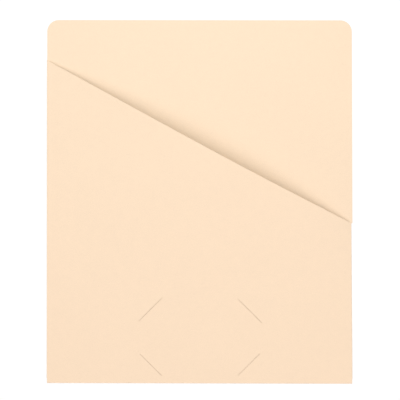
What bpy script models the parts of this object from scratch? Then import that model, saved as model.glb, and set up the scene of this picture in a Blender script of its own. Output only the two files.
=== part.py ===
"""A slash jacket: a letter-size manila pocket with a diagonal mouth and slits for a calling card.

One die-cut sheet of board is creased, folded up at the bottom and glued down both sides. Each panel, crease
and glue line is its own object. The jacket lies on its back, the mouth towards +Y, the front panel facing +Z,
and the origin is under the middle of the back panel.
"""

import math

import bmesh
import bpy
from mathutils import Vector

# Board and folds (metres)
BOARD = 0.00028                 # 11-point manila board
LAYER_GAP = 0.0001              # air left between two folded layers
GLUE_FILM = 0.0001              # dried glue line
GLUE_SEAT = 0.00005             # clearance between the glue line and the board on either side
JOIN = 0.00005                  # clearance where two stretches of the sheet meet at a crease
FOLD_SEGMENTS = 10              # facets round half a turn of a crease

# Outline (metres)
WIDTH = 0.250825                # 9-7/8 in
HEIGHT = 0.298450               # 11-3/4 in
CORNER_RADIUS = 0.0095          # die-cut top corners of the back panel
CORNER_SEGMENTS = 12
LEFT_FOLD_PROUD = 0.0002        # the left crease stands this far outside the cut edge above it
RIGHT_FOLD_INSET = 0.00045      # the right crease lies this far inside the cut edge above it
SLASH_LEFT_DROP = 0.0333        # the mouth's left end, below the top edge
SLASH_RIGHT_DROP = 0.1670       # the mouth's right end, below the top edge
SLASH_SAG = 0.00115             # dip of the cut below the straight line between those ends, half way along

# Mouth (metres)
GAPE = 0.0140                   # how far the front panel stands off at the widest point of the mouth
GAPE_PEAK = 0.55                # where that point is, as a share of the width from the left
GAPE_FULLNESS = 0.85            # power of the bow across the mouth, below 1 for full shoulders
BOW_CURL = 1.6                  # power of the rise up the panel, above 1 for a bend towards the mouth
FLAT_FOOT = 0.072               # height of the front panel's flat lower part, which holds the card
MOUTH_COLUMNS = 24              # facets across the bowed part, between the side flaps
MOUTH_ROWS = 10                 # facets up the bowed part

# Side flaps and their glue lines (metres)
FLAP_WIDTH = 0.016
FLAP_TOP_MARGIN = 0.003         # the flap ends this far below the slash
FLAP_FOOT_MARGIN = 0.004        # clear of the bottom crease at the side crease
FLAP_FOOT_TAPER = 0.010         # and this much more at the flap's free edge
GLUE_MARGIN = 0.003             # bare board between the glue line and the flap's edges
GLUE_WIDTH = 0.008

# Slits that hold the corners of a 3.5 x 2 in card (metres)
SLIT_WIDTH = 0.00025
SLIT_SPREAD = 0.0811            # between the centres of a left and a right slit
LOWER_SLIT_RISE = 0.0152        # centres of the lower slits above the bottom edge
UPPER_SLIT_RISE = 0.0600        # centres of the upper slits above the bottom edge
LOWER_SLIT_LENGTH = 0.0253
UPPER_SLIT_LENGTH = 0.0273
SLIT_ANGLE = math.radians(45)
SLIT_CUTTER_HEIGHT = 0.004

# Finishes: (red, green, blue) as the shader takes them, and roughness
MANILA = (0.93, 0.73, 0.54)
MANILA_ROUGHNESS = 0.85
DRIED_GLUE = (0.86, 0.80, 0.66)
GLUE_ROUGHNESS = 0.4
CRISP_ANGLE = math.radians(40)  # edges sharper than this stay crisp on a piece that is shaded smooth

# Levels, from the surface that the jacket lies on
BACK_TOP = BOARD
FLAP_BASE = BACK_TOP + LAYER_GAP
FLAP_TOP = FLAP_BASE + BOARD
GLUE_BASE = FLAP_TOP + GLUE_SEAT
FRONT_BASE = GLUE_BASE + GLUE_FILM + GLUE_SEAT
FRONT_TOP = FRONT_BASE + BOARD

# Creases: the outer radius of each half turn
SIDE_FOLD = FLAP_TOP / 2
BOTTOM_FOLD = FRONT_TOP / 2

# Outline in the jacket's frame
TOP = HEIGHT / 2
BOTTOM = -HEIGHT / 2
LEFT_FOLD = -WIDTH / 2
RIGHT_FOLD = WIDTH / 2 - RIGHT_FOLD_INSET
LEFT_CUT = LEFT_FOLD + LEFT_FOLD_PROUD
RIGHT_CUT = WIDTH / 2
SLASH_LEFT = TOP - SLASH_LEFT_DROP
SLASH_RIGHT = TOP - SLASH_RIGHT_DROP
FOLD_SPAN = RIGHT_FOLD - LEFT_FOLD
PANEL_FOOT = BOTTOM + BOTTOM_FOLD + JOIN
FLAT_TOP = BOTTOM + FLAT_FOOT
EDGE_INSET = SIDE_FOLD + JOIN


def clear_scene():
    for obj in list(bpy.data.objects):
        bpy.data.objects.remove(obj)


def finish(obj, colour=MANILA, roughness=MANILA_ROUGHNESS):
    """Gives the object a material of its own."""
    material = bpy.data.materials.new(obj.name + "_finish")
    material.use_nodes = True
    shader = material.node_tree.nodes["Principled BSDF"]
    shader.inputs["Base Color"].default_value = (*colour, 1.0)
    shader.inputs["Roughness"].default_value = roughness
    shader.inputs["Metallic"].default_value = 0.0
    obj.data.materials.append(material)


def add_object(name, builder, closed=True):
    """Makes a mesh object from a bmesh. The faces of a closed one are turned outwards."""
    if closed:
        bmesh.ops.recalc_face_normals(builder, faces=builder.faces)
    mesh = bpy.data.meshes.new(name)
    builder.to_mesh(mesh)
    builder.free()
    obj = bpy.data.objects.new(name, mesh)
    bpy.context.scene.collection.objects.link(obj)
    return obj


def shade_round(obj):
    """Shades a closed piece smooth, with its cut edges crisp."""
    obj.data.shade_smooth()
    obj.data.set_sharp_from_angle(angle=CRISP_ANGLE)


def slash_height(x):
    """Where the slash crosses the flat pattern at x."""
    share = (x - LEFT_FOLD) / FOLD_SPAN
    dip = 4 * SLASH_SAG * share * (1 - share)
    return SLASH_LEFT + (SLASH_RIGHT - SLASH_LEFT) * share - dip


def bow_share(x):
    """The bow across the mouth: none at the side creases, 1 at its peak."""
    share = min(max((x - LEFT_FOLD) / FOLD_SPAN, 0.0), 1.0)
    skew = math.log(0.5) / math.log(GAPE_PEAK)
    return math.sin(math.pi * share ** skew) ** GAPE_FULLNESS


def bowed(x, y):
    """A point of the flat pattern as it lies on the bowed front panel: (x, y, rise).

    The rise grows with a power of the height above the flat foot. The board keeps its length, so what rises
    also draws down towards the foot, by the length that the slope takes up.
    """
    reach = slash_height(x) - FLAT_TOP
    climb = max(0.0, (y - FLAT_TOP) / reach)
    gape = GAPE * bow_share(x)
    rise = gape * climb ** BOW_CURL
    slope_power = 2 * BOW_CURL - 1
    drawn_down = (BOW_CURL * gape) ** 2 * climb ** slope_power / (2 * slope_power * reach)
    return Vector((x, y - drawn_down, rise))


def bow_heights(x):
    """The bowed part's rows at x: even steps up to the glue's end, then the flap's end and the slash."""
    slash = slash_height(x)
    glue_end = slash - FLAP_TOP_MARGIN - GLUE_MARGIN
    rows = [FLAT_TOP + (glue_end - FLAT_TOP) * row / MOUTH_ROWS for row in range(MOUTH_ROWS + 1)]
    return rows + [slash - FLAP_TOP_MARGIN, slash]


def seam_columns(fold, inwards):
    """The places across a side seam, from left to right: the flap's edges, with the glue line's between."""
    offsets = (EDGE_INSET, EDGE_INSET + GLUE_MARGIN, EDGE_INSET + GLUE_MARGIN + GLUE_WIDTH, FLAP_WIDTH)
    return sorted(fold + inwards * offset for offset in offsets)


def sheet(name, columns, foot, rows_kept, level, thickness, grows):
    """A bowed sheet: a grid of points over the columns, thickened up (1) or down (-1) from its level.

    foot(x) is where the sheet starts, and rows_kept how many of the bowed rows it has.
    """
    builder = bmesh.new()
    lines = []
    for x in columns:
        heights = [foot(x)] + bow_heights(x)[:rows_kept]
        lines.append([builder.verts.new(bowed(x, y) + Vector((0, 0, level))) for y in heights])
    for line, following in zip(lines, lines[1:]):
        for row in range(len(line) - 1):
            face = builder.faces.new((line[row], following[row], following[row + 1], line[row + 1]))
            face.smooth = True
    for edge in builder.edges:
        edge.smooth = not edge.is_boundary
    obj = add_object(name, builder, closed=False)
    solidify = obj.modifiers.new("board", "SOLIDIFY")
    solidify.thickness = thickness
    solidify.offset = grows
    return obj


def half_fold(name, radius, board, length, location, turn):
    """A crease: half a turn of board, bulging along local +X and running along local +Y."""
    builder = bmesh.new()
    angles = [math.pi * (step / FOLD_SEGMENTS - 0.5) for step in range(FOLD_SEGMENTS + 1)]
    outer = [Vector((radius * math.cos(a), 0, radius * math.sin(a))) for a in angles]
    inner = [point * ((radius - board) / radius) for point in reversed(outer)]
    profile = builder.faces.new([builder.verts.new(point) for point in outer + inner])
    run = bmesh.ops.extrude_face_region(builder, geom=[profile])
    moved = [item for item in run["geom"] if isinstance(item, bmesh.types.BMVert)]
    bmesh.ops.translate(builder, vec=(0, length, 0), verts=moved)
    obj = add_object(name, builder)
    obj.location = location
    obj.rotation_euler = (0, 0, turn)
    shade_round(obj)
    finish(obj)
    return obj


def corner(centre_x, centre_y, start):
    """The points of a quarter turn of the top corners, anticlockwise from the start angle."""
    steps = [start + math.pi / 2 * step / CORNER_SEGMENTS for step in range(CORNER_SEGMENTS + 1)]
    return [(centre_x + CORNER_RADIUS * math.cos(a), centre_y + CORNER_RADIUS * math.sin(a)) for a in steps]


def back_panel():
    """The full-height panel: creased at the foot and beside the pocket, cut free above the slash."""
    outline = [
        (LEFT_FOLD + EDGE_INSET, PANEL_FOOT),
        (RIGHT_FOLD - EDGE_INSET, PANEL_FOOT),
        (RIGHT_FOLD - EDGE_INSET, SLASH_RIGHT),
        (RIGHT_CUT, SLASH_RIGHT),
        *corner(RIGHT_CUT - CORNER_RADIUS, TOP - CORNER_RADIUS, 0),
        *corner(LEFT_CUT + CORNER_RADIUS, TOP - CORNER_RADIUS, math.pi / 2),
        (LEFT_CUT, SLASH_LEFT),
        (LEFT_FOLD + EDGE_INSET, SLASH_LEFT),
    ]
    builder = bmesh.new()
    face = builder.faces.new([builder.verts.new((x, y, 0)) for x, y in outline])
    raised = bmesh.ops.extrude_face_region(builder, geom=[face])
    moved = [item for item in raised["geom"] if isinstance(item, bmesh.types.BMVert)]
    bmesh.ops.translate(builder, vec=(0, 0, BOARD), verts=moved)
    obj = add_object("back_panel", builder)
    shade_round(obj)
    finish(obj)
    return obj


def slit_cutter(name, x, rise, length, angle):
    builder = bmesh.new()
    bmesh.ops.create_cube(builder, size=1)
    bmesh.ops.scale(builder, vec=(length, SLIT_WIDTH, SLIT_CUTTER_HEIGHT), verts=builder.verts)
    obj = add_object(name, builder)
    obj.location = (x, BOTTOM + rise, FRONT_BASE)
    obj.rotation_euler = (0, 0, angle)
    obj.hide_render = True
    obj.display_type = "WIRE"
    return obj


def front_panel():
    """The pocket's front: flat at the foot, bowed out along the slash, slit for the corners of a card."""
    left = seam_columns(LEFT_FOLD, 1)
    right = seam_columns(RIGHT_FOLD, -1)
    step = (right[0] - left[-1]) / MOUTH_COLUMNS
    middle = [left[-1] + step * column for column in range(1, MOUTH_COLUMNS)]
    every_row = len(bow_heights(0))
    obj = sheet("front_panel", left + middle + right, lambda x: PANEL_FOOT, every_row, FRONT_BASE, BOARD, 1)
    for row, rise, length, lean in (
        ("lower", LOWER_SLIT_RISE, LOWER_SLIT_LENGTH, -1),
        ("upper", UPPER_SLIT_RISE, UPPER_SLIT_LENGTH, 1),
    ):
        for side, direction in (("left", -1), ("right", 1)):
            angle = -lean * direction * SLIT_ANGLE
            cutter = slit_cutter(f"{row}_{side}_slit", direction * SLIT_SPREAD / 2, rise, length, angle)
            cut = obj.modifiers.new(cutter.name, "BOOLEAN")
            cut.operation = "DIFFERENCE"
            cut.solver = "EXACT"
            cut.object = cutter
    finish(obj)
    return obj


def flap_foot(fold):
    """The tapered lower end of the flap on that crease."""
    def height(x):
        across = (abs(x - fold) - EDGE_INSET) / (FLAP_WIDTH - EDGE_INSET)
        return BOTTOM + FLAP_FOOT_MARGIN + FLAP_FOOT_TAPER * across
    return height


def side_seam(side, fold, inwards):
    """The flap creased in from the back panel's side, and the glue line that holds the front panel to it."""
    columns = seam_columns(fold, inwards)
    foot = flap_foot(fold)
    flap_rows = MOUTH_ROWS + 2
    flap = sheet(f"{side}_flap", columns, foot, flap_rows, FLAP_TOP, BOARD, -1)
    glue_columns = columns[1:-1]
    glue_rows = flap_rows - 1
    glue = sheet(
        f"{side}_glue", glue_columns, lambda x: foot(x) + GLUE_MARGIN, glue_rows, GLUE_BASE, GLUE_FILM, 1,
    )
    finish(flap)
    finish(glue, DRIED_GLUE, GLUE_ROUGHNESS)
    return [flap, glue]


def creases():
    """The three creases that close the pocket: bottom, left and right."""
    across = FOLD_SPAN - 2 * EDGE_INSET
    foot = BOTTOM + FLAP_FOOT_MARGIN
    half_fold(
        "bottom_fold", BOTTOM_FOLD, BOARD, across,
        (LEFT_FOLD + EDGE_INSET, BOTTOM + BOTTOM_FOLD, BOTTOM_FOLD), -math.pi / 2,
    )
    half_fold(
        "right_fold", SIDE_FOLD, BOARD, SLASH_RIGHT - JOIN - foot,
        (RIGHT_FOLD - SIDE_FOLD, foot, SIDE_FOLD), 0,
    )
    half_fold(
        "left_fold", SIDE_FOLD, BOARD, SLASH_LEFT - JOIN - foot,
        (LEFT_FOLD + SIDE_FOLD, SLASH_LEFT - JOIN, SIDE_FOLD), math.pi,
    )


def mouth_hinge(pieces):
    """The line that the front panel swings about as the mouth opens: the middle of the bottom crease."""
    hinge = bpy.data.objects.new("mouth_hinge", None)
    hinge.location = (0, BOTTOM + BOTTOM_FOLD, BOTTOM_FOLD)
    bpy.context.scene.collection.objects.link(hinge)
    for piece in pieces:
        piece.parent = hinge
        piece.location = -hinge.location


def main():
    clear_scene()
    back_panel()
    creases()
    moving = [front_panel()]
    moving += side_seam("left", LEFT_FOLD, 1)
    moving += side_seam("right", RIGHT_FOLD, -1)
    mouth_hinge(moving)


main()
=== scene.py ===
import math

import bpy
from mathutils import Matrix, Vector
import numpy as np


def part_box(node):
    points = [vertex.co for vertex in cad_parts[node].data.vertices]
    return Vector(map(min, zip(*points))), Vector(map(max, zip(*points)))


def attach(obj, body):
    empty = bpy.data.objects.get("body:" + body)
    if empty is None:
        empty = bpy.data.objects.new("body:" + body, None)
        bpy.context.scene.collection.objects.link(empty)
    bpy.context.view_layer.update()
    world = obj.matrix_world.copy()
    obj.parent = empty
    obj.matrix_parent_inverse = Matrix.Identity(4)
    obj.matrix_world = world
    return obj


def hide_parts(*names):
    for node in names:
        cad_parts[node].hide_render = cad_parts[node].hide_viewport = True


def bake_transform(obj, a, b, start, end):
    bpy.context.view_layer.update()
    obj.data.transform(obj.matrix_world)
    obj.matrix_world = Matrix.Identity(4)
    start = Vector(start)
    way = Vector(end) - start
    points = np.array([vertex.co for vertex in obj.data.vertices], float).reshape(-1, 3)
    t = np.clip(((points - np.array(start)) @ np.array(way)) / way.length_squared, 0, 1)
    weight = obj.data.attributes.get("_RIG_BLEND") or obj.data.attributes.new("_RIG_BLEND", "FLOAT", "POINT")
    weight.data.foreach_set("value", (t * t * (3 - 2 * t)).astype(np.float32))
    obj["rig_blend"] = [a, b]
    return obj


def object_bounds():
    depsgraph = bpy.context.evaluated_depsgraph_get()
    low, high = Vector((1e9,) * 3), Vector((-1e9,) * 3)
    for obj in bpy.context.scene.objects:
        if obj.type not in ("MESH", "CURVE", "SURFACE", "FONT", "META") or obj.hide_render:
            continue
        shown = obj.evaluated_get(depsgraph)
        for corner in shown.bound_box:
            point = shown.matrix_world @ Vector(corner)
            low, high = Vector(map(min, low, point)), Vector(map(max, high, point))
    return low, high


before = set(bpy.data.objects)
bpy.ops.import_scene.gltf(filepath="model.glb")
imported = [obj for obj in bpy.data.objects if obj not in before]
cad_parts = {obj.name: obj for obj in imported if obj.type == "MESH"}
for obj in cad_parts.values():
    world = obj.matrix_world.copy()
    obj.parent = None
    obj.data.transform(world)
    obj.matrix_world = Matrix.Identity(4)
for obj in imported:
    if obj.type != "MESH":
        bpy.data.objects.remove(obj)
cadBox = [list(corner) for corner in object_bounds()]
print("stage: frame loaded", sorted(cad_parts))
mm = 0.001
hair = 0.001 * mm       # points nearer to each other than this are one


# places and levels, read off the frame
backLow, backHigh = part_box("back_panel")
frontLow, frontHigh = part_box("front_panel")
leftFoldLow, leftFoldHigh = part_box("left_fold")
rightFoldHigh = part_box("right_fold")[1]
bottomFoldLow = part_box("bottom_fold")[0]
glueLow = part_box("left_glue")[0]

sheet = {
    "board": backHigh.z - backLow.z,
    "leftFold": leftFoldLow.x,              # outermost line of each crease
    "rightFold": rightFoldHigh.x,
    "sideFoot": leftFoldLow.y,              # lower end of both side creases
    "leftCut": leftFoldLow.x + 0.2 * mm,    # the free cut edges above the creases
    "rightCut": backHigh.x,
    "top": backHigh.y,
    "bottom": bottomFoldLow.y,
    "slashLeft": leftFoldHigh.y + 0.2 * mm,
    "slashRight": rightFoldHigh.y,
    "slashSag": 1.20 * mm,                  # dip of the cut below a straight line
    "frontBase": frontLow.z,
    "flapTop": leftFoldHigh.z,
    "glueBase": glueLow.z,
}
sheet["frontTop"] = sheet["frontBase"] + sheet["board"]
sheet["sideRadius"] = sheet["flapTop"] / 2
sheet["bottomRadius"] = sheet["frontTop"] / 2
sheet["span"] = sheet["rightFold"] - sheet["leftFold"]

mouth = {
    "gape": frontHigh.z - sheet["frontTop"],
    "peak": 0.55,           # widest point, as a share of the way from left to right
    "fullness": 0.85,       # below 1 the shoulders of the bow are full
    "curl": 1.6,            # above 1 the panel bends towards the mouth
    "flatFoot": 72 * mm,    # the part with the card slits lies flat
}
flatTop = sheet["bottom"] + mouth["flatFoot"]
bowSkew = math.log(0.5) / math.log(mouth["peak"])


def shareAcross(x):
    return min(max((x - sheet["leftFold"]) / sheet["span"], 0.0), 1.0)


def slashAt(x):
    share = shareAcross(x)
    dip = 4 * sheet["slashSag"] * share * (1 - share)
    return sheet["slashLeft"] + (sheet["slashRight"] - sheet["slashLeft"]) * share - dip


def gapeAt(x):
    return mouth["gape"] * math.sin(math.pi * shareAcross(x) ** bowSkew) ** mouth["fullness"]


# where a point of the flat front lies once the mouth gapes; the sheet keeps its length
def bowPoint(x, y, level):
    reach = slashAt(x) - flatTop
    climb = max(0.0, (y - flatTop) / reach)
    gape = gapeAt(x)
    slopePower = 2 * mouth["curl"] - 1
    drawnDown = (mouth["curl"] * gape) ** 2 * climb ** slopePower / (2 * slopePower * reach)
    return Vector((x, y - drawnDown, level + gape * climb ** mouth["curl"]))


# the real jacket is folded a hair out of square; every piece takes the same drift
outOfSquare = {
    "lean": -0.0021,            # sideways, for each metre up the sheet
    "footSlope": -0.0014,       # up or down along the foot, none at the top edge
    "short": -0.0010,           # in height, for each metre from the middle
    "flare": 0.0016,            # in width, from the top edge to the foot
    "foldIn": -0.43 * mm,       # the right crease starts inwards at the slash
    "foldOut": 0.07 * mm,       # and ends outwards at the foot
    "foldPower": 6,             # how soon that dies out towards the left
}


def creaseDrift(y):
    fall = max(0.0, (sheet["slashRight"] - y) / (sheet["slashRight"] - sheet["bottom"]))
    return outOfSquare["foldIn"] + (outOfSquare["foldOut"] - outOfSquare["foldIn"]) * fall


def driftPiece(piece):
    for vertex in piece.data.vertices:
        x, y = vertex.co.xy
        down = (sheet["top"] - y) / (sheet["top"] - sheet["bottom"])
        spread = outOfSquare["flare"] * (down - 0.5) * x
        foldShift = creaseDrift(y) * shareAcross(x) ** outOfSquare["foldPower"]
        vertex.co.x = x + outOfSquare["lean"] * y + spread + foldShift
        vertex.co.y = y + outOfSquare["footSlope"] * x * down + outOfSquare["short"] * y


def deselectAll():
    if bpy.context.object and bpy.context.object.mode != "OBJECT":
        bpy.ops.object.mode_set(mode="OBJECT")
    bpy.ops.object.select_all(action="DESELECT")


def makeActive(piece):
    deselectAll()
    piece.hide_set(False)
    piece.select_set(True)
    bpy.context.view_layer.objects.active = piece


def applyModifier(piece, kind, **settings):
    makeActive(piece)
    modifier = piece.modifiers.new(kind.title(), kind)
    for key, value in settings.items():
        setattr(modifier, key, value)
    bpy.ops.object.modifier_apply(modifier=modifier.name)


# a grid whose points are laid out by place(u, v), both from 0 to 1
def layGrid(name, columns, rows, place):
    deselectAll()
    bpy.ops.mesh.primitive_grid_add(x_subdivisions=columns, y_subdivisions=rows, size=2)
    piece = bpy.context.object
    piece.name = name
    piece.data.name = name
    for vertex in piece.data.vertices:
        vertex.co = place((vertex.co.x + 1) / 2, (vertex.co.y + 1) / 2)
    return piece


smoothAngle = math.radians(35)      # sharper edges than this stay sharp


def smoothPiece(piece):
    makeActive(piece)
    bpy.ops.object.shade_smooth_by_angle(angle=smoothAngle)


# give a sheet its thickness, above or below where it is laid
def thicken(piece, thickness, upwards):
    side = 1 if upwards else -1
    applyModifier(piece, "SOLIDIFY", thickness=thickness, offset=side, use_even_offset=True)


steepTilt = 0.5     # a face whose normal rises or falls less than this is a cut edge


# faces that look up take the first material, those that look down the second, cut edges the third
def sortFaces(piece, upper, lower, edge):
    piece.data.materials.clear()
    for material in (upper, lower, edge):
        piece.data.materials.append(material)
    for face in piece.data.polygons:
        if abs(face.normal.z) < steepTilt:
            face.material_index = 2
        else:
            face.material_index = 0 if face.normal.z > 0 else 1


print("stage: sizes read", {key: round(value / mm, 3) for key, value in sheet.items()})


# materials
noiseMiddle = 0.5
noiseSpread = (0.3, 0.7)    # most values of a noise lie between these


def newMaterial(name):
    material = bpy.data.materials.new(name)
    material.use_nodes = True
    return material, material.node_tree, material.node_tree.nodes["Principled BSDF"]


def addMath(tree, operation, *values):
    node = tree.nodes.new("ShaderNodeMath")
    node.operation = operation
    for socket, value in zip(node.inputs, values):
        if isinstance(value, (int, float)):
            socket.default_value = value
        else:
            tree.links.new(value, socket)
    return node.outputs[0]


# coordinates that are fixed to the piece
def objectCoords(tree):
    return tree.nodes.new("ShaderNodeTexCoord").outputs["Object"]


def addNoise(tree, coords, size, detail=2.0, roughness=0.55):
    noise = tree.nodes.new("ShaderNodeTexNoise")
    noise.inputs["Scale"].default_value = 1 / size
    noise.inputs["Detail"].default_value = detail
    noise.inputs["Roughness"].default_value = roughness
    tree.links.new(coords, noise.inputs["Vector"])
    return noise.outputs["Fac"]


# coordinates turned about Z and stretched, so that one unit is the given size
def stretchCoords(tree, coords, turn, size):
    mapping = tree.nodes.new("ShaderNodeMapping")
    mapping.vector_type = "TEXTURE"
    mapping.inputs["Rotation"].default_value = (0, 0, math.radians(turn))
    mapping.inputs["Scale"].default_value = size
    tree.links.new(coords, mapping.inputs["Vector"])
    return mapping.outputs["Vector"]


# a start, plus each value times its weight
def addUp(tree, start, *parts):
    total = start
    for value, weight in parts:
        total = addMath(tree, "MULTIPLY_ADD", value, weight, total)
    return total


def addRamp(tree, value, *stops):
    ramp = tree.nodes.new("ShaderNodeValToRGB")
    while len(ramp.color_ramp.elements) < len(stops):
        ramp.color_ramp.elements.new(1.0)
    for element, (position, colour) in zip(ramp.color_ramp.elements, stops):
        element.position = position
        element.color = (*colour, 1)
    tree.links.new(value, ramp.inputs["Fac"])
    return ramp.outputs["Color"]


def addRange(tree, value, low, high):
    span = tree.nodes.new("ShaderNodeMapRange")
    span.inputs["From Min"].default_value = noiseSpread[0]
    span.inputs["From Max"].default_value = noiseSpread[1]
    span.inputs["To Min"].default_value = low
    span.inputs["To Max"].default_value = high
    tree.links.new(value, span.inputs["Value"])
    return span.outputs["Result"]


def addBump(tree, shader, height, finish):
    bump = tree.nodes.new("ShaderNodeBump")
    bump.inputs["Distance"].default_value = finish["relief"]
    bump.inputs["Strength"].default_value = finish["reliefStrength"]
    tree.links.new(height, bump.inputs["Height"])
    tree.links.new(bump.outputs["Normal"], shader.inputs["Normal"])


# uncoated manila board: cloudy formation, short fibres, a few specks
manila = {
    "colour": (0.905, 0.735, 0.540),
    "shadedInsideColour": (0.810, 0.700, 0.525),  # painted shade: the faces inside the pocket take a duller, less red copy of the board, which also tones the light bounced into the shadow under the lip
    "contrast": 0.07,                       # how far the tone swings either way
    "toneStart": -0.28,                     # the tone before the layers below are added to it
    "cloud": {"size": 55 * mm, "detail": 1.0, "tone": 0.15},
    "flock": {"size": 6 * mm, "detail": 3.0, "tone": 0.30, "height": 0.5},
    "grain": {"size": 0.55 * mm, "detail": 3.0, "roughness": 0.65, "tone": 0.70, "height": 0.7},
    "fibres": {
        "size": (0.12 * mm, 2.4 * mm, 0.12 * mm),
        "turns": (7, 64, -38),
        "detail": 1.0,
        "sharpness": 16,
        "tone": 0.45,
        "height": 0.5,
    },
    "flecks": (                             # specks and stray fibres: turn, cell, radius in cells, depth
        (0, (3.2 * mm, 3.2 * mm, 1), 0.035, 0.9),
        (18, (1.1 * mm, 26 * mm, 1), 0.050, 0.7),
        (-57, (1.1 * mm, 26 * mm, 1), 0.050, 0.7),
        (76, (1.1 * mm, 26 * mm, 1), 0.050, 0.7),
    ),
    "fleckChance": 0.4,                     # share of the cells that have one
    "creasePalingAndPaintedLight": 2.0,                    # stretched grain along the creases is paler, and paler still as painted light that lifts the shade on the rounded folds
    "roughness": (0.80, 0.94),
    "specular": 0.25,
    "relief": 0.02 * mm,
    "reliefStrength": 0.6,
}


def fibreNet(tree, coords):
    fibres = manila["fibres"]
    net = None
    for turn in fibres["turns"]:
        lane = stretchCoords(tree, coords, turn, fibres["size"])
        drift = addNoise(tree, lane, 1.0, detail=fibres["detail"])
        offCentre = addMath(tree, "ABSOLUTE", addMath(tree, "SUBTRACT", drift, noiseMiddle))
        ridge = addMath(tree, "MULTIPLY_ADD", offCentre, -fibres["sharpness"], 1.0)
        line = addMath(tree, "MAXIMUM", ridge, 0.0)
        net = line if net is None else addMath(tree, "MAXIMUM", net, line)
    return net


# marks of varied size in some of the cells of a stretched pattern
def fleckMarks(tree, coords, turn, cell, radius):
    cells = tree.nodes.new("ShaderNodeTexVoronoi")
    cells.voronoi_dimensions = "2D"
    cells.inputs["Scale"].default_value = 1.0
    tree.links.new(stretchCoords(tree, coords, turn, cell), cells.inputs["Vector"])
    draw = tree.nodes.new("ShaderNodeSeparateColor")
    tree.links.new(cells.outputs["Color"], draw.inputs["Color"])
    size = addMath(tree, "SUBTRACT", draw.outputs["Red"], 1 - manila["fleckChance"])
    reach = addMath(tree, "MULTIPLY", size, radius / manila["fleckChance"])
    return addMath(tree, "LESS_THAN", cells.outputs["Distance"], reach)


def toned(colour, share):
    return tuple(min(1.0, channel * share) for channel in colour)


def manilaBoard(name, colour, creased=False):
    material, tree, shader = newMaterial(name)
    coords = objectCoords(tree)
    cloud, flock, grain = manila["cloud"], manila["flock"], manila["grain"]
    cloudNoise = addNoise(tree, coords, cloud["size"], cloud["detail"])
    flockNoise = addNoise(tree, coords, flock["size"], flock["detail"])
    grainNoise = addNoise(tree, coords, grain["size"], grain["detail"], grain["roughness"])
    net = fibreNet(tree, coords)
    flecks = [
        (fleckMarks(tree, coords, turn, cell, radius), -depth)
        for turn, cell, radius, depth in manila["flecks"]
    ]
    tone = addUp(
        tree, manila["toneStart"],
        (cloudNoise, cloud["tone"]),
        (flockNoise, flock["tone"]),
        (grainNoise, grain["tone"]),
        (net, manila["fibres"]["tone"]),
        *flecks,
    )
    # the outer side of each fold is lightened: partly the real paling of stretched grain, partly painted
    # light over the shade where the fold rounds away
    if creased:
        bend = tree.nodes.new("ShaderNodeAttribute")
        bend.attribute_name = "bend"
        creaseGrainAndLift = addMath(tree, "MULTIPLY", bend.outputs["Fac"], grainNoise)
        tone = addUp(tree, tone, (creaseGrainAndLift, manila["creasePalingAndPaintedLight"]))
    dark = toned(colour, 1 - manila["contrast"])
    pale = toned(colour, 1 + manila["contrast"])
    tint = addRamp(tree, tone, (0.0, dark), (0.5, colour), (1.0, pale))
    tree.links.new(tint, shader.inputs["Base Color"])
    tree.links.new(addRange(tree, flockNoise, *manila["roughness"]), shader.inputs["Roughness"])
    shader.inputs["Specular IOR Level"].default_value = manila["specular"]
    height = addUp(
        tree, 0.0,
        (net, manila["fibres"]["height"]),
        (grainNoise, grain["height"]),
        (flockNoise, flock["height"]),
    )
    addBump(tree, shader, height, manila)
    return material


# the cut edge shows the board's layers
cutEdge = {
    "core": (0.86, 0.70, 0.51),
    "fuzz": (0.95, 0.80, 0.62),
    "layerSize": (0.7 * mm, 0.7 * mm, 0.035 * mm),
    "layerDetail": 3.0,
    "roughness": 0.95,
    "specular": 0.2,
    "relief": 0.02 * mm,
    "reliefStrength": 0.8,
}


def cutBoard():
    material, tree, shader = newMaterial("cutBoard")
    layered = stretchCoords(tree, objectCoords(tree), 0, cutEdge["layerSize"])
    layers = addNoise(tree, layered, 1.0, cutEdge["layerDetail"])
    tint = addRamp(tree, layers, (noiseSpread[0], cutEdge["core"]), (noiseSpread[1], cutEdge["fuzz"]))
    tree.links.new(tint, shader.inputs["Base Color"])
    shader.inputs["Roughness"].default_value = cutEdge["roughness"]
    shader.inputs["Specular IOR Level"].default_value = cutEdge["specular"]
    addBump(tree, shader, layers, cutEdge)
    return material


# dried glue: a thin amber film with ripples and tiny bubbles
driedGlue = {
    "thin": (0.88, 0.82, 0.68),
    "thick": (0.78, 0.68, 0.48),
    "rippleSize": 2.5 * mm,
    "bubbleSize": 0.9 * mm,
    "bubbleHeight": 0.25,       # beside a ripple's 1
    "roughness": (0.28, 0.5),
    "relief": 0.03 * mm,
    "reliefStrength": 0.7,
}


def glueFilm():
    material, tree, shader = newMaterial("glueFilm")
    coords = objectCoords(tree)
    ripple = addNoise(tree, coords, driedGlue["rippleSize"])
    bubbles = tree.nodes.new("ShaderNodeTexVoronoi")
    bubbles.inputs["Scale"].default_value = 1 / driedGlue["bubbleSize"]
    tree.links.new(coords, bubbles.inputs["Vector"])
    tint = addRamp(tree, ripple, (noiseSpread[0], driedGlue["thick"]), (noiseSpread[1], driedGlue["thin"]))
    tree.links.new(tint, shader.inputs["Base Color"])
    tree.links.new(addRange(tree, ripple, *driedGlue["roughness"]), shader.inputs["Roughness"])
    height = addUp(tree, 0.0, (ripple, 1.0), (bubbles.outputs["Distance"], driedGlue["bubbleHeight"]))
    addBump(tree, shader, height, driedGlue)
    return material


boardFinish = manilaBoard("manilaBoard", manila["colour"])
# painted shade: a duller, less red copy of the board for the faces inside the pocket
shadedInsideFinish = manilaBoard("shadedInsideBoard", manila["shadedInsideColour"])
creaseFinish = manilaBoard("creasedBoard", manila["colour"], creased=True)
edgeFinish = cutBoard()
glueFinish = glueFilm()
print("stage: finishes", [material.name for material in bpy.data.materials if material.use_nodes])


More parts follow.
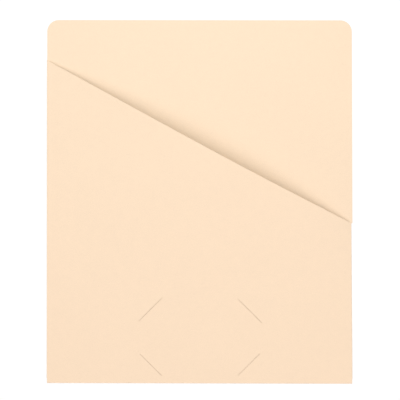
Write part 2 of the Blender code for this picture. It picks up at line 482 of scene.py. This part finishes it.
# back panel: full height, with round top corners, its free edges a hair off the lines of the creases
backPanel = {
    "cornerRadius": 9.5 * mm,
    "cornerSegments": 14,
    "stepHeight": 0.1 * mm,     # over which a free edge runs in to its crease
}


def selectPoints(piece, wanted):
    bpy.ops.mesh.select_all(action="DESELECT")
    bpy.ops.object.mode_set(mode="OBJECT")
    for vertex in piece.data.vertices:
        vertex.select = wanted(vertex.co)
    bpy.ops.object.mode_set(mode="EDIT")


def cutAcross(height):
    bpy.ops.mesh.select_all(action="SELECT")
    bpy.ops.mesh.bisect(plane_co=(0, height, 0), plane_no=(0, 1, 0), threshold=hair)


# the creases take up the side of the panel as high as the slash
def runIn(piece, side, slashEnd, distance):
    cutAcross(slashEnd)
    cutAcross(slashEnd + backPanel["stepHeight"])
    halfStep = backPanel["stepHeight"] / 2
    selectPoints(piece, lambda point: point.x * side > 0 and point.y < slashEnd + halfStep)
    bpy.ops.transform.translate(value=(-side * distance, 0, 0))


def makeBackPanel():
    left = sheet["leftCut"]
    right = sheet["rightCut"] - outOfSquare["foldIn"]       # the drift takes this back
    low = sheet["bottom"] + sheet["bottomRadius"]
    high = sheet["top"]
    deselectAll()
    bpy.ops.mesh.primitive_plane_add(size=1, location=((left + right) / 2, (low + high) / 2, 0))
    piece = bpy.context.object
    piece.name = "backPanel"
    piece.data.name = "backPanel"
    piece.scale = (right - left, high - low, 1)
    bpy.ops.object.transform_apply(location=True, rotation=True, scale=True)
    bpy.ops.object.mode_set(mode="EDIT")
    bpy.ops.mesh.select_mode(type="VERT")
    runIn(piece, -1, sheet["slashLeft"], sheet["leftFold"] + sheet["sideRadius"] - left)
    runIn(piece, 1, sheet["slashRight"], right - sheet["rightFold"] + sheet["sideRadius"])
    selectPoints(piece, lambda point: point.y > high - backPanel["cornerRadius"])
    bpy.ops.mesh.bevel(
        offset=backPanel["cornerRadius"], segments=backPanel["cornerSegments"], affect="VERTICES",
    )
    bpy.ops.object.mode_set(mode="OBJECT")
    thicken(piece, sheet["board"], upwards=True)
    sortFaces(piece, boardFinish, boardFinish, edgeFinish)
    driftPiece(piece)
    smoothPiece(piece)
    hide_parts("back_panel")
    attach(piece, "back")
    return piece


backPiece = makeBackPanel()
print("stage: back panel", len(backPiece.data.polygons))


# front panel: flat foot with the card slits, bowed out along the slash
frontPanel = {
    "columns": 96,
    "footRows": 22,
    "bowRows": 64,
}
cardSlits = {
    "cutterHeight": 4 * mm,
    "cuts": (       # the die cut each one a hair off its place: across, rise, length, width, turn
        (-40.1 * mm, 15.1 * mm, 25.1 * mm, 0.20 * mm, -45),
        (40.3 * mm, 15.6 * mm, 25.4 * mm, 0.23 * mm, 45),
        (-40.3 * mm, 60.6 * mm, 26.8 * mm, 0.24 * mm, 45),
        (41.1 * mm, 59.4 * mm, 27.6 * mm, 0.23 * mm, -45),
    ),
}


def slitCutter(across, rise, length, width, turn):
    deselectAll()
    bpy.ops.mesh.primitive_cube_add(size=1)
    cutter = bpy.context.object
    cutter.dimensions = (length, width, cardSlits["cutterHeight"])
    cutter.rotation_euler = (0, 0, math.radians(turn))
    cutter.location = (across, sheet["bottom"] + rise, sheet["frontTop"])
    bpy.ops.object.transform_apply(location=True, rotation=True, scale=True)
    return cutter


def openSlits(piece):
    for cut in cardSlits["cuts"]:
        cutter = slitCutter(*cut)
        applyModifier(piece, "BOOLEAN", operation="DIFFERENCE", solver="EXACT", object=cutter)
        bpy.data.objects.remove(cutter)


# how far a point follows the opening mouth: not at all at the side creases, fully in the middle
def mouthShare(x):
    half = sheet["span"] / 2
    share = min(1.0, max(0.0, (half - abs(x - (sheet["leftFold"] + half))) / half))
    return share * share * (3 - 2 * share)


def followMouth(piece):
    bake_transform(piece, "back", "front", start=(0, 0, sheet["board"]), end=(0, 0, sheet["frontBase"]))
    weights = piece.data.attributes["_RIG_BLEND"]
    for vertex, weight in zip(piece.data.vertices, weights.data):
        weight.value = mouthShare(vertex.co.x)


def makeFrontPanel():
    left = sheet["leftFold"] + sheet["sideRadius"]
    right = sheet["rightFold"] - sheet["sideRadius"]
    foot = sheet["bottom"] + sheet["bottomRadius"]
    footRows, bowRows = frontPanel["footRows"], frontPanel["bowRows"]
    rows = footRows + bowRows

    def place(u, v):
        x = left + (right - left) * u
        row = round(v * rows)
        if row <= footRows:
            y = foot + (flatTop - foot) * row / footRows
        else:
            y = flatTop + (slashAt(x) - flatTop) * (row - footRows) / bowRows
        return bowPoint(x, y, sheet["frontBase"])

    piece = layGrid("frontPanel", frontPanel["columns"], rows, place)
    thicken(piece, sheet["board"], upwards=True)
    openSlits(piece)
    # the front's underside, inside the pocket, takes the painted-shade copy of the board
    sortFaces(piece, boardFinish, shadedInsideFinish, edgeFinish)
    driftPiece(piece)
    smoothPiece(piece)
    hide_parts("front_panel")
    followMouth(piece)
    return piece


frontPiece = makeFrontPanel()
print("stage: front panel", len(frontPiece.data.polygons))


# creases: a strip of board spun half a turn from the back up to the front or the flap
crease = {"steps": 18, "lengthStep": 5 * mm}


def spinCrease(name, start, end, radius, outwards):
    start, end, outwards = Vector(start), Vector(end), Vector(outwards)
    up = Vector((0, 0, 1))
    length = (end - start).length
    along = (end - start).normalized()
    cuts = max(1, round(length / crease["lengthStep"]))
    board = sheet["board"]
    piece = layGrid(name, cuts, 1, lambda u, v: start + along * length * u + up * board * v)
    makeActive(piece)
    bpy.ops.object.mode_set(mode="EDIT")
    bpy.ops.mesh.select_all(action="SELECT")
    axis = along if along.cross(up).dot(outwards) > 0 else -along
    bpy.ops.mesh.spin(steps=crease["steps"], angle=math.pi, center=start + up * radius, axis=axis)
    bpy.ops.mesh.select_all(action="SELECT")
    bpy.ops.mesh.remove_doubles(threshold=hair)
    bpy.ops.mesh.normals_make_consistent(inside=False)
    bpy.ops.object.mode_set(mode="OBJECT")
    bend = piece.data.attributes.new("bend", "FLOAT", "POINT")
    for vertex, value in zip(piece.data.vertices, bend.data):
        value.value = max(0.0, (vertex.co - start).dot(outwards) / radius)
    piece.data.materials.append(creaseFinish)
    driftPiece(piece)
    smoothPiece(piece)
    return piece


def makeSideCrease(name, x, slashEnd, outwards):
    start = (x, sheet["sideFoot"], 0)
    return spinCrease(name, start, (x, slashEnd, 0), sheet["sideRadius"], (outwards, 0, 0))


def makeCreases():
    sideLeft = sheet["leftFold"] + sheet["sideRadius"]
    sideRight = sheet["rightFold"] - sheet["sideRadius"]
    bottomLine = sheet["bottom"] + sheet["bottomRadius"]
    left = makeSideCrease("leftFold", sideLeft, sheet["slashLeft"], -1)
    right = makeSideCrease("rightFold", sideRight, sheet["slashRight"], 1)
    bottom = spinCrease(
        "bottomFold", (sideLeft, bottomLine, 0), (sideRight, bottomLine, 0),
        sheet["bottomRadius"], (0, -1, 0),
    )
    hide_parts("left_fold")
    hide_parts("right_fold")
    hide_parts("bottom_fold")
    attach(left, "back")
    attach(right, "back")
    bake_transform(bottom, "back", "front", start=(0, 0, sheet["board"]), end=(0, 0, sheet["frontBase"]))


makeCreases()
print("stage: creases")


# side flaps inside the pocket, and the glue lines that hold the front to them
sideFlap = {
    "width": 16 * mm,
    "topMargin": 3 * mm,
    "footMargin": 4 * mm,
    "footTaper": 10 * mm,
    "columns": 8,
    "rows": 60,
}
glueLine = {
    "margin": 3 * mm,
    "width": 8 * mm,
    "film": 0.1 * mm,
    "columns": 4,
    "rows": 60,
}


def seamSheet(name, fold, inwards, near, far, footAt, topMargin, level, columns, rows):
    def place(u, v):
        across = near + (far - near) * (u if inwards > 0 else 1 - u)
        x = fold + inwards * across
        foot = footAt(across)
        top = slashAt(x) - topMargin
        return bowPoint(x, foot + (top - foot) * v, level)

    return layGrid(name, columns, rows, place)


def makeSeam(side, fold, inwards):
    near = sheet["sideRadius"]

    def flapFoot(across):
        share = (across - near) / (sideFlap["width"] - near)
        return sheet["bottom"] + sideFlap["footMargin"] + sideFlap["footTaper"] * share

    flap = seamSheet(
        side + "Flap", fold, inwards, near, sideFlap["width"], flapFoot,
        sideFlap["topMargin"], sheet["flapTop"], sideFlap["columns"], sideFlap["rows"],
    )
    thicken(flap, sheet["board"], upwards=False)
    # both faces of a flap sit inside the pocket and take the painted-shade copy of the board
    sortFaces(flap, shadedInsideFinish, shadedInsideFinish, edgeFinish)
    driftPiece(flap)
    smoothPiece(flap)
    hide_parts(side + "_flap")
    followMouth(flap)

    glueNear = near + glueLine["margin"]
    glue = seamSheet(
        side + "Glue", fold, inwards, glueNear, glueNear + glueLine["width"],
        lambda across: flapFoot(across) + glueLine["margin"],
        sideFlap["topMargin"] + glueLine["margin"], sheet["glueBase"],
        glueLine["columns"], glueLine["rows"],
    )
    thicken(glue, glueLine["film"], upwards=True)
    sortFaces(glue, glueFinish, glueFinish, glueFinish)
    driftPiece(glue)
    smoothPiece(glue)
    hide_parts(side + "_glue")
    followMouth(glue)


makeSeam("left", sheet["leftFold"], 1)
makeSeam("right", sheet["rightFold"], -1)
print("stage: side seams")


# floor, light and camera
white = (1, 1, 1, 1)
studio = {
    "floorSize": 2.4,
    "floorDrop": 0.2 * mm,
    "floorGrey": 0.9,           # as it lights the jacket's sides
    "seenGrey": 0.3,            # as the camera sees it, so that its shadows stay faint
    "seenLift": 0.72,           # the glow that makes up for it
    "worldLevel": 0.12,
}
softbox = {
    "size": 3.6,
    "height": 2.0,
    "lean": math.radians(7.5),  # towards the foot of the jacket
    "power": 69.7,
    "tint": (1.0, 0.920, 0.920),
}
topFill = {
    "size": 0.3,
    "place": (0, 0.4, 0.5),
    "aim": (0, 0.05, 0),
    "power": 0.885,
    "tint": (0.78, 0.938, 0.938),
}
view = {
    "lens": 150,
    "sensor": 36,
    "clipStart": 10 * mm,
    "pixelsPerMetre": 1217.6,
    "imageSide": 400,
    "middle": (199.6, 201.47),  # where the outline's middle falls in the picture
    "lean": math.radians(0.87),
    "roll": math.radians(0.06),
}


# 1 for what is seen straight, in a reflection or through glass, and 0 for light that bounces
def seenDirectly(tree):
    path = tree.nodes.new("ShaderNodeLightPath")
    straight = addMath(tree, "MAXIMUM", path.outputs["Is Camera Ray"], path.outputs["Is Glossy Ray"])
    return addMath(tree, "MAXIMUM", straight, path.outputs["Is Transmission Ray"])


def makeFloor():
    deselectAll()
    bpy.ops.mesh.primitive_plane_add(size=studio["floorSize"], location=(0, 0, -studio["floorDrop"]))
    floor = bpy.context.object
    floor.name = "floor"
    material, tree, shader = newMaterial("paleFloor")
    seen = seenDirectly(tree)
    dimming = studio["seenGrey"] - studio["floorGrey"]
    grey = addMath(tree, "MULTIPLY_ADD", seen, dimming, studio["floorGrey"])
    lift = addMath(tree, "MULTIPLY", seen, studio["seenLift"])
    tree.links.new(grey, shader.inputs["Base Color"])
    tree.links.new(lift, shader.inputs["Emission Strength"])
    shader.inputs["Emission Color"].default_value = white
    shader.inputs["Roughness"].default_value = 1.0
    shader.inputs["Specular IOR Level"].default_value = 0.0
    floor.data.materials.append(material)


def makeWorld():
    world = bpy.data.worlds.new("studio")
    world.use_nodes = True
    bpy.context.scene.world = world
    tree = world.node_tree
    ambient = tree.nodes["Background"]
    ambient.inputs["Color"].default_value = white
    ambient.inputs["Strength"].default_value = studio["worldLevel"]
    backdrop = tree.nodes.new("ShaderNodeBackground")
    backdrop.inputs["Color"].default_value = white
    backdrop.inputs["Strength"].default_value = 1.0
    mix = tree.nodes.new("ShaderNodeMixShader")
    tree.links.new(seenDirectly(tree), mix.inputs["Fac"])
    tree.links.new(ambient.outputs[0], mix.inputs[1])
    tree.links.new(backdrop.outputs[0], mix.inputs[2])
    tree.links.new(mix.outputs[0], tree.nodes["World Output"].inputs["Surface"])


def addLamp(name, place, aim, lamp):
    deselectAll()
    bpy.ops.object.light_add(type="AREA", location=place)
    light = bpy.context.object
    light.name = name
    light.rotation_euler = (Vector(aim) - Vector(place)).to_track_quat("-Z", "Y").to_euler()
    light.data.shape = "SQUARE"
    light.data.size = lamp["size"]
    light.data.energy = lamp["power"]
    light.data.color = lamp["tint"]


def makeLamps():
    overhead = (0, -softbox["height"] * math.tan(softbox["lean"]), softbox["height"])
    addLamp("softbox", overhead, (0, 0, 0), softbox)
    addLamp("topFill", topFill["place"], topFill["aim"], topFill)


def makeCamera():
    deselectAll()
    bpy.ops.object.camera_add()
    camera = bpy.context.object
    camera.name = "camera"
    camera.data.lens = view["lens"]
    camera.data.sensor_width = view["sensor"]
    camera.data.clip_start = view["clipStart"]
    frameWidth = view["imageSide"] / view["pixelsPerMetre"]
    distance = frameWidth * view["lens"] / view["sensor"]
    half = view["imageSide"] / 2
    middle = Vector(((cadBox[0][0] + cadBox[1][0]) / 2, (cadBox[0][1] + cadBox[1][1]) / 2, 0))
    camera.location = middle + distance * Vector((0, -math.sin(view["lean"]), math.cos(view["lean"])))
    camera.rotation_euler = (view["lean"], 0, view["roll"])
    camera.data.shift_x = (half - view["middle"][0]) / view["imageSide"]
    camera.data.shift_y = (view["middle"][1] - half) / view["imageSide"]
    bpy.context.scene.camera = camera


makeFloor()
makeWorld()
makeLamps()
makeCamera()
bpy.context.scene.view_settings.view_transform = "Standard"
print("stage: studio")

print("stage: done")
